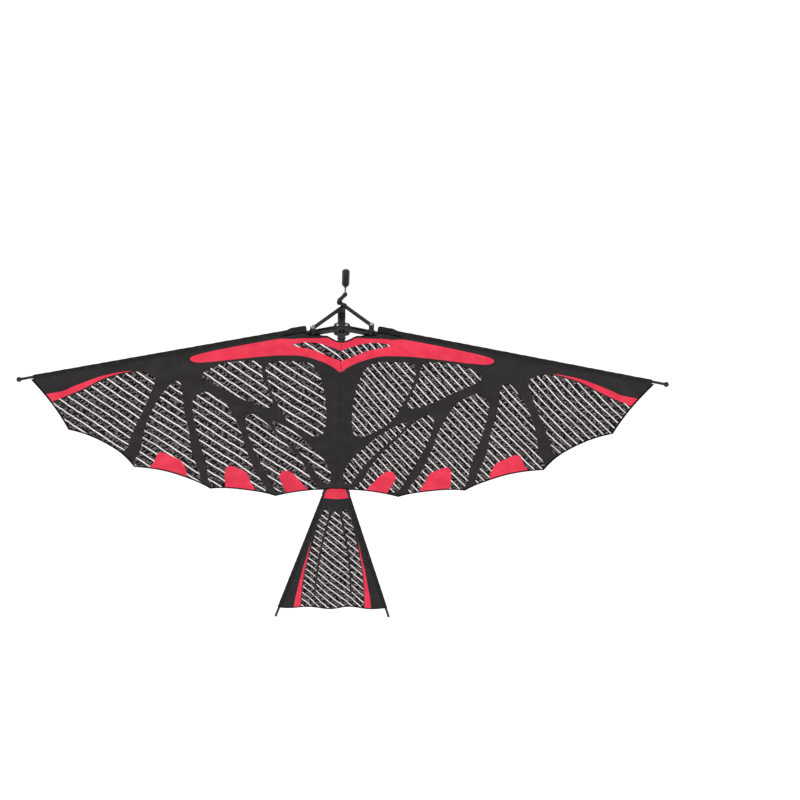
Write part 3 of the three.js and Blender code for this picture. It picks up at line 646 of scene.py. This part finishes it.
WING_PRINT = [
    region([(0, 22), (7, 16), (16, 11), (26, 7.6), (37, 5.6), (68, 5), (102, 6), (112, 8.6),
            (108, 14), (95, 16.6), (80, 18), (62, 20), (45, 23), (29, 28), (15, 38), (6, 47),
            (0, 53.5), (-2.5, 38)], RED),
    region([(0, 31), (7.5, 25), (13, 20.6), (18.6, 17), (25, 14.4), (31, 12.8), (36.5, 14),
            (32, 17.6), (26, 21), (20, 24.6), (15, 29), (7, 36.7), (0, 41.5), (-2, 36)], HATCH),
    region([(24, 37), (31, 33), (38, 31), (47, 28.8), (54, 29), (56, 35), (55, 41), (53, 54),
            (49, 67), (45, 80), (40, 93), (32, 106), (22, 117), (16.5, 120.6), (12, 120),
            (9.8, 112), (9.6, 95), (11, 78), (13, 65), (16, 52), (19.6, 43)], HATCH),
    region([(60, 28), (64, 24), (70, 22), (80, 20.4), (90, 20.5), (100, 25), (103.5, 29),
            (102, 33.5), (98, 38), (86, 49), (72, 63), (61, 72.5), (53, 77), (50.2, 74),
            (51, 69), (53, 62), (55, 53), (58, 44), (58.6, 36)], HATCH),
    region([(210, 34.4), (198, 26), (186, 20.4), (176, 15.6), (165, 13), (154, 12.6),
            (147, 14.4), (141.5, 18), (137.6, 23),
            (138, 27), (140, 35), (143, 45), (147, 58), (152, 72), (156, 86), (160, 99),
            (184, 84), (203, 60)], HATCH, off_edge=(0, 16, 17, 18)),
    region([(214, 24), (206, 20.5), (198, 17.2), (186, 13.2), (176, 10.8), (165, 10.2),
            (155, 11), (165, 11.6), (176, 14), (186, 18.8), (198, 24.4), (210, 32.6)], RED,
           off_edge=(0, 11)),
    region([(124, 30), (128.6, 35), (133, 42), (137, 50), (140, 58), (144, 72), (146, 86),
            (147.4, 102), (147.5, 118), (125, 137), (101, 150), (102.6, 142), (104, 134),
            (107.4, 121), (110, 108), (112, 87), (115, 72), (116.5, 58), (117.4, 48),
            (117.6, 40), (119.6, 32)], HATCH, off_edge=(8, 9, 10)),
    region([(137.3, 124), (136.8, 117), (135.2, 110.5), (133.4, 107.6), (130.5, 108),
            (123.6, 114), (117, 121), (113.2, 132), (110.5, 143), (124, 134)], RED,
           off_edge=(0, 8, 9)),
    region([(104, 47), (108, 51), (110, 57), (108.8, 72), (107, 85), (102.5, 108),
            (98, 129), (93.3, 149), (75, 160), (55.5, 165), (61, 149), (66, 132), (70, 116),
            (73, 100), (78, 83), (84, 67), (89, 58), (95, 52), (99.6, 47.6)], HATCH,
           off_edge=(7, 8, 9)),
    region([(82, 160), (83.8, 150), (83.5, 140), (82, 136.4), (79, 137), (73.4, 141.6),
            (68, 147), (65, 157), (62.3, 166.5), (72, 164)], RED, off_edge=(0, 8, 9)),
    region([(65, 81), (69, 82), (70, 86), (69.4, 95), (67.5, 105), (64, 119), (59.5, 133),
            (53.6, 150), (48, 166), (34, 175), (17.5, 176), (20.4, 165), (23.7, 154),
            (29.6, 140), (37.3, 125), (45, 111), (52, 98), (58.6, 88.6)], HATCH,
           off_edge=(8, 9, 10)),
    region([(36.5, 178.5), (40, 171), (42, 164), (43.6, 158.6), (43, 155.5), (40.6, 152.6),
            (37.3, 153), (33, 158), (30, 163), (26, 171), (22.5, 179), (29, 180)], RED,
           off_edge=(0, 10, 11)),
    region([(50.5, 92), (44, 98), (37.3, 105), (28, 118), (20.3, 131), (13.6, 142),
            (8.5, 153), (5.4, 162), (4.5, 170), (5.8, 176.4), (9.3, 177.5), (13, 169),
            (17, 158.7), (23.4, 145), (30.5, 132), (37.4, 120), (44, 109), (48.6, 100)], HATCH),
]


RING_SIDES = 8
STITCH_RINGS = 5


def hem_ring(before, here, after, width, height, normal):
    """An oval ring across a path that runs through before, here and after."""
    run = (Vector(after) - Vector(before)).normalized()
    side = run.cross(normal).normalized()
    up = side.cross(run)
    ring = []
    for k in range(RING_SIDES):
        angle = 2.0 * math.pi * k / RING_SIDES
        offset = side * (0.5 * width * math.cos(angle)) + up * (0.5 * height * math.sin(angle))
        ring.append(tuple(Vector(here) + offset))
    return ring


def hem(name, path, width, height, normal, material=HEM_CLOTH):
    rings = []
    for i, here in enumerate(path):
        before = path[max(i - 1, 0)]
        after = path[min(i + 1, len(path) - 1)]
        rings.append(hem_ring(before, here, after, width, height, normal))
    return loft(name, rings, material)


def stitches(name, path, normal, lift, length=1.7, gap=1.3, width=0.34):
    """A row of short threads lying on a path."""
    mesh_rings = []
    total = 0.0
    lengths = [0.0]
    for a, b in zip(path, path[1:]):
        total += math.dist(a, b)
        lengths.append(total)

    def at(distance):
        for i in range(len(path) - 1):
            if lengths[i + 1] >= distance:
                t = (distance - lengths[i]) / max(1e-9, lengths[i + 1] - lengths[i])
                return Vector(path[i]).lerp(Vector(path[i + 1]), t)
        return Vector(path[-1])

    shape = bmesh.new()
    start = gap
    while start + length < total:
        rings = []
        for k in range(STITCH_RINGS):
            t = k / (STITCH_RINGS - 1)
            here = at(start + length * t)
            ahead = at(min(total, start + length * t + 0.2))
            rise = lift + 0.16 * math.sin(math.pi * t) - 0.06
            size = width * (0.55 + 0.45 * math.sin(math.pi * t))
            middle = here + normal * rise
            rings.append(hem_ring(middle, middle, middle + (ahead - here), size, size * 0.8, normal))
        mesh_rings.append(rings)
        start += length + gap
    for rings in mesh_rings:
        grid = [[shape.verts.new(to_metres(p)) for p in ring] for ring in rings]
        for low, high in zip(grid, grid[1:]):
            for k in range(RING_SIDES):
                after = (k + 1) % RING_SIDES
                shape.faces.new((low[k], low[after], high[after], high[k]))
        shape.faces.new(list(reversed(grid[0])))
        shape.faces.new(grid[-1])
    bmesh.ops.recalc_face_normals(shape, faces=shape.faces)
    mesh = bpy.data.meshes.new(name)
    shape.to_mesh(mesh)
    shape.free()
    for polygon in mesh.polygons:
        polygon.use_smooth = len(polygon.vertices) == 4
    return add_object(name, mesh, [THREAD])


# Section of the spar's pocket: [behind the spar, up].
SLEEVE_SECTION = [
    (4.0, 0.2), (2.6, 0.42), (1.4, 1.02), (0.6, 1.34), (-0.3, 1.42), (-1.0, 1.08), (-1.4, 0.4),
    (-1.4, -0.4), (-1.0, -1.08), (-0.3, -1.42), (0.6, -1.34), (1.4, -1.02), (2.6, -0.42),
    (4.0, -0.2),
]


def sleeve_rings(side):
    """The pocket of cloth that wraps the spar, puckered a little between stitches."""
    rings = []
    for i in range(SLEEVE_STEPS + 1):
        s = SLEEVE_START + (SLEEVE_END - SLEEVE_START) * i / SLEEVE_STEPS
        pucker = 1.0 + 0.035 * math.sin(0.9 * s) + 0.03 * math.sin(0.37 * s + 1.0)
        if i in (0, SLEEVE_STEPS):
            pucker *= 0.93
        ring = []
        stretch = 1.0 + 0.62 * (1.0 - smoothstep(s, 36.0, 42.0))
        for d, v in SLEEVE_SECTION:
            around = pucker * stretch if d < 3.0 else 1.0
            x, y, z = on_wing(s, d * around, v * around)
            ring.append((side * x, y, z))
        rings.append(ring)
    return rings


def mirrored_path(path, side):
    return [(side * x, y, z) for x, y, z in path]


def build_wing(side, suffix, flat):
    body = f"wing_{suffix}"
    normal = Vector((-side * SIN_REST, 0.0, COS_REST))
    cloth = cloth_mesh(f"wing_cloth_{suffix}", flat, wing_cloth_place, side,
                       [CHARCOAL_CLOTH, RED_CLOTH, WING_HATCH])
    thicken(cloth, CLOTH_THICK)
    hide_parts(f"wing_membrane_{suffix}")
    edge_path = mirrored_path([wing_cloth_place(s, d) for s, d in TRAILING], side)
    edge = hem(f"wing_hem_{suffix}", edge_path, 1.5, 0.62, normal)
    notch_path = mirrored_path([wing_cloth_place(s, d) for s, d in NOTCH_EDGE], side)
    notch = hem(f"notch_hem_{suffix}", notch_path, 1.4, 0.6, normal)
    for piece in (cloth, edge, notch):
        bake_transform(piece)
    pocket = loft(f"spar_sleeve_{suffix}", sleeve_rings(side), CHARCOAL_SLEEVE)
    spacing = (STITCH_END_S - STITCH_START) / 59
    seam_line = [on_wing(STITCH_START + spacing * i, 3.3, 0.28) for i in range(60)]
    seam = stitches(f"sleeve_stitch_{suffix}", mirrored_path(seam_line, side), normal, 0.05)
    for piece in (pocket, seam):
        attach(piece, body)


WING_OUTLINE = TRAILING + NOTCH_EDGE + LEADING
WING_FLAT = flat_print(WING_OUTLINE, WING_PRINT, 3.2)
build_wing(1, "left", WING_FLAT)
build_wing(-1, "right", WING_FLAT)


def build_tape():
    """The stitched tape that holds the two halves to the stick."""
    top = SEAM_Z - 0.14
    side = SEAM_Z - 0.24
    rings = []
    for step in range(TAPE_STEPS):
        y = NOTCH - 0.2 + TAPE_STEP * step
        low = SEAM_Z - 0.5 + 0.05 * math.sin(0.31 * y)
        rings.append([
            (-TAPE_HALF, y, side), (-1.9, y, top), (0.0, y, top), (1.9, y, top),
            (TAPE_HALF, y, side), (1.8, y, low), (0.0, y, SEAM_Z - 0.56), (-1.8, y, low),
        ])
    tape = loft("centre_tape", rings, CHARCOAL_SLEEVE)
    line = [(0.0, NOTCH + TAPE_STEP * k, SEAM_Z + 0.1) for k in range(TAPE_STEPS - 1)]
    tape_stitch = stitches("tape_stitch", line, Vector((0.0, 0.0, 1.0)), 0.03, width=0.26)
    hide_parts("spine_strip")
    for piece in (tape, tape_stitch):
        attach(piece, "airframe")


build_tape()


# ---- tail cloth --------------------------------------------------------------------
def tail_rod_x(y):
    return (y - TAIL_APEX_Y) * TAIL_SLOPE


def tail_half(d):
    return tail_rod_x(ROOT_EDGE + d)


def tail_place(w, d):
    """The tail's cloth: w from its middle and d behind the wings' rear edge."""
    y = ROOT_EDGE + d
    half = tail_half(d)
    part = min(1.0, abs(w) / half)
    over_bracket = 1.0 - smoothstep(y, BRACKET_END_Y - 4.0, BRACKET_END_Y + 12.0)
    rest = 0.35 + 1.75 * over_bracket
    sag = 0.9 * (1.0 - part * part) * smoothstep(d, 22.0, 70.0)
    flutter = 0.8 * math.sin(0.17 * w + 0.9) * smoothstep(d, 70.0, 130.0) * (1.0 - part ** 4)
    crease = 0.18 * math.sin(9.0 * w / half + 0.5) * smoothstep(d, 22.0, 60.0) * (1 - part ** 4)
    return w, y, TAIL_ROD_Z + rest - sag + flutter + crease


def tail_outline():
    end = TAIL_LENGTH
    right_side = [(tail_half(3.0 * i + 1.0), 3.0 * i + 1.0) for i in range(46)]
    rear = curve_through([(tail_half(end), end), (26.0, end + 1.1), (12.0, end + 0.4),
                          (0.0, end + 1.4), (-12.0, end + 0.5), (-26.0, end + 1.2),
                          (-tail_half(end), end)], 2.2)
    left_side = [(-w, d) for w, d in reversed(right_side)]
    front = [(tail_half(1.0) * k / 4.0, 1.0) for k in range(-3, 4)]
    return right_side[:-1] + rear + left_side[1:] + front


def both_sides(points, slot, step=2.0):
    """The same printed area on each half of the tail."""
    return [
        Region(curve_through([(side * w, d) for w, d in points], step, closed=True), slot)
        for side in (1, -1)
    ]


TAIL_COLLAR = [(0, -4), (16, -4), (16, 14), (11.5, 17.2), (6, 19), (0, 19.6)]
TAIL_CENTRE = [(2.6, 38), (4.4, 46), (6.2, 58), (8.2, 70), (9.6, 83), (11.1, 98), (12.3, 120),
               (12.8, 148)]


def folded(points):
    """Closes half a shape with its own mirror image across the tail's middle."""
    return points + [(-w, d) for w, d in reversed(points) if w > 0]


TAIL_PRINT = [
    Region(curve_through(folded(TAIL_COLLAR), 1.6, closed=True), RED),
    Region(curve_through([(0, 34)] + folded(TAIL_CENTRE), 1.6, closed=True), HATCH),
]
TAIL_PRINT += both_sides([(17.2, 68), (18.9, 83), (20.8, 97), (22.2, 112), (23.2, 134),
                          (23.6, 148), (28, 149), (27.7, 134), (25.6, 118), (22.8, 99),
                          (19.7, 82)], RED)
TAIL_PRINT += both_sides([(6, 30), (8.6, 34), (11, 41), (13, 50), (14.4, 60), (16, 70),
                          (18.4, 83), (20.2, 97), (21.6, 112), (22.6, 134), (23, 148),
                          (14.2, 148), (13.6, 120), (12.4, 98), (11.3, 83), (9.6, 70),
                          (8.2, 60), (6.4, 48), (5, 38)], HATCH)


# Section of the tail's rod pockets: [towards the middle, up].
TAIL_SLEEVE_SECTION = [
    (3.0, 0.2), (2.0, 0.5), (1.0, 0.98), (0.2, 1.24), (-0.6, 1.12), (-1.14, 0.5),
    (-1.14, -0.5), (-0.6, -1.12), (0.2, -1.24), (1.0, -0.98), (2.0, -0.5), (3.0, -0.2),
]


def build_tail():
    flat = flat_print(tail_outline(), TAIL_PRINT, 2.8)
    cloth = cloth_mesh("tail_cloth", flat, tail_place, 1,
                       [CHARCOAL_CLOTH, RED_CLOTH, TAIL_HATCH])
    thicken(cloth, CLOTH_THICK)
    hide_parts("tail_membrane")
    up = Vector((0.0, 0.0, 1.0))
    rear = [p for p in tail_outline() if p[1] > TAIL_LENGTH - 0.5]
    rear_hem = hem("tail_rear_hem", [tail_place(w, d) for w, d in rear], 1.3, 0.6, up)
    front = [(tail_half(1.1) * k / 3.0, 1.1) for k in range(-3, 4)]
    front_hem = hem("tail_front_hem", [tail_place(w, d) for w, d in front], 1.2, 0.55, up)
    pieces = [rear_hem, front_hem]
    start_y = BRACKET_END_Y + 0.6
    for side, suffix in ((1, "left"), (-1, "right")):
        rings = []
        for i in range(TAIL_SLEEVE_STEPS + 1):
            y = start_y + (ROOT_EDGE + TAIL_LENGTH - start_y) * i / TAIL_SLEEVE_STEPS
            grow = 1.0 + 0.04 * math.sin(0.8 * y)
            ring = []
            for inward, height in TAIL_SLEEVE_SECTION:
                x = side * (tail_rod_x(y) - inward * grow)
                ring.append((x, y, TAIL_ROD_Z + height * grow))
            rings.append(ring)
        pocket = loft(f"tail_sleeve_{suffix}", rings, CHARCOAL_SLEEVE)
        line = [(side * (tail_rod_x(y) - 2.5), y, TAIL_ROD_Z + 0.3) for y in TAIL_STITCH_Y]
        seam = stitches(f"tail_stitch_{suffix}", line, up, 0.12)
        pieces += [pocket, seam]
    for piece in [cloth] + pieces:
        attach(piece, "tail")


build_tail()


# ---- rubber motor ------------------------------------------------------------------
RUBBER_FRONT = 22.3
RUBBER_REAR = 138.5
BIGHT_R = 1.8
STRAND_R = 0.62
RUBBER_TURNS = 6
RUBBER_WIDTH = 1.5
RUBBER_THICK = 0.95
STRAND_STEPS = 132
BIGHT_STEPS = 10


def strand_rings(first_side):
    """One strand from the front hook to the rear one, wound around the other strand."""
    places = []
    for i in range(STRAND_STEPS + 1):
        t = i / STRAND_STEPS
        gathered = smoothstep(t, 0.0, 0.09) - smoothstep(t, 0.91, 1.0)
        reach = BIGHT_R + (STRAND_R - BIGHT_R) * gathered
        wound = min(1.0, max(0.0, (t - 0.03) / 0.94))
        angle = 2.0 * math.pi * RUBBER_TURNS * wound + (0.0 if first_side > 0 else math.pi)
        outward = Vector((math.cos(angle), 0.0, math.sin(angle)))
        y = RUBBER_FRONT + (RUBBER_REAR - RUBBER_FRONT) * t
        places.append((Vector((0.0, y, CRANK_Z)) + outward * reach, outward))
    return places


def bight(y, first_side, forward):
    """The half circle of rubber around a hook, from one strand to the other."""
    places = []
    for i in range(1, BIGHT_STEPS):
        angle = math.pi * i / BIGHT_STEPS
        outward = Vector((first_side * math.cos(angle), forward * math.sin(angle), 0.0))
        places.append((Vector((0.0, y, CRANK_Z)) + outward * BIGHT_R, outward))
    return places


def build_rubber():
    places = bight(RUBBER_FRONT, 1, -1) + strand_rings(-1)
    places += bight(RUBBER_REAR, -1, 1) + list(reversed(strand_rings(1)))
    rings = []
    count = len(places)
    for i, (here, outward) in enumerate(places):
        before = places[i - 1][0]
        after = places[(i + 1) % count][0]
        rings.append(hem_ring(before, here, after, RUBBER_WIDTH, RUBBER_THICK, outward))
    rubber_loop = loft("rubber_loop", rings, RUBBER, loop=True)
    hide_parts("rubber_motor")
    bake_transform(rubber_loop)


build_rubber()


# ---- hard parts --------------------------------------------------------------------
NODE_MATERIALS = {
    BLACK_PLASTIC: ["head_frame", "rear_hook_mount", "tail_socket", "tail_bracket",
                    "conrod_left", "conrod_right", "winding_arm", "wing_arm_left", "wing_arm_right"],
    GRIP_PLASTIC: ["handle_grip", "spar_tip_left", "spar_tip_right"],
    BEAD_GLASS: ["thrust_bead"],
    STEEL: ["rear_hook", "tail_pivot_screw", "tail_pivot_nut", "hinge_pin_left",
            "hinge_pin_right", "rod_pin_left", "rod_pin_right", "handle_pin"],
    DARK_STEEL: ["crankshaft", "crank_bush"],
    CARBON_X: ["wing_spar_left", "wing_spar_right"],
    CARBON_Y: ["motor_stick", "tail_rod_left", "tail_rod_right"],
}

for material, names in NODE_MATERIALS.items():
    for node_name in names:
        node_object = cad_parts[node_name]
        for material_slot in node_object.material_slots:
            material_slot.link = "OBJECT"
            material_slot.material = material


# ---- room --------------------------------------------------------------------------
FLOOR_Z = -0.22
FLOOR_HALF = 6.0
WORLD_STRENGTH = 0.93
BIRD_MIDDLE = (0.0, 0.12, 0.0)
AHEAD_OF_NOSE = (0.0, -0.3, 0.0)


def add_floor():
    mesh = bpy.data.meshes.new("floor")
    corners = [(x * FLOOR_HALF, y * FLOOR_HALF, FLOOR_Z)
               for x, y in ((-1, -1), (1, -1), (1, 1), (-1, 1))]
    mesh.from_pydata(corners, [], [(0, 1, 2, 3)])
    shader = Shader("floor", (0.96, 0.96, 0.96), 0.9)
    floor = add_object("floor", mesh, [shader.material])


def add_lamp(name, place, aim, size, power):
    data = bpy.data.lights.new(name, "AREA")
    data.shape = "DISK"
    data.size = size
    data.energy = power
    lamp = bpy.data.objects.new(name, data)
    direction = Vector(aim) - Vector(place)
    turn = direction.to_track_quat("-Z", "Y").to_matrix().to_4x4()
    lamp.matrix_world = Matrix.Translation(Vector(place)) @ turn
    bpy.context.scene.collection.objects.link(lamp)


def add_room():
    add_floor()
    add_lamp("key", (0.9, -0.9, 1.7), BIRD_MIDDLE, 1.4, 12.0)
    add_lamp("fill", (-1.3, 0.2, 1.3), BIRD_MIDDLE, 1.6, 6.0)
    add_lamp("back", (0.2, 1.7, 1.2), BIRD_MIDDLE, 1.4, 3.0)
    add_lamp("front", (-0.4, -1.6, 1.3), AHEAD_OF_NOSE, 1.4, 8.0)
    world = bpy.data.worlds.new("room")
    world.use_nodes = True
    background = world.node_tree.nodes["Background"]
    background.inputs[0].default_value = (1.0, 1.0, 1.0, 1.0)
    background.inputs[1].default_value = WORLD_STRENGTH
    bpy.context.scene.world = world


add_room()
bpy.context.scene.view_settings.view_transform = "Standard"
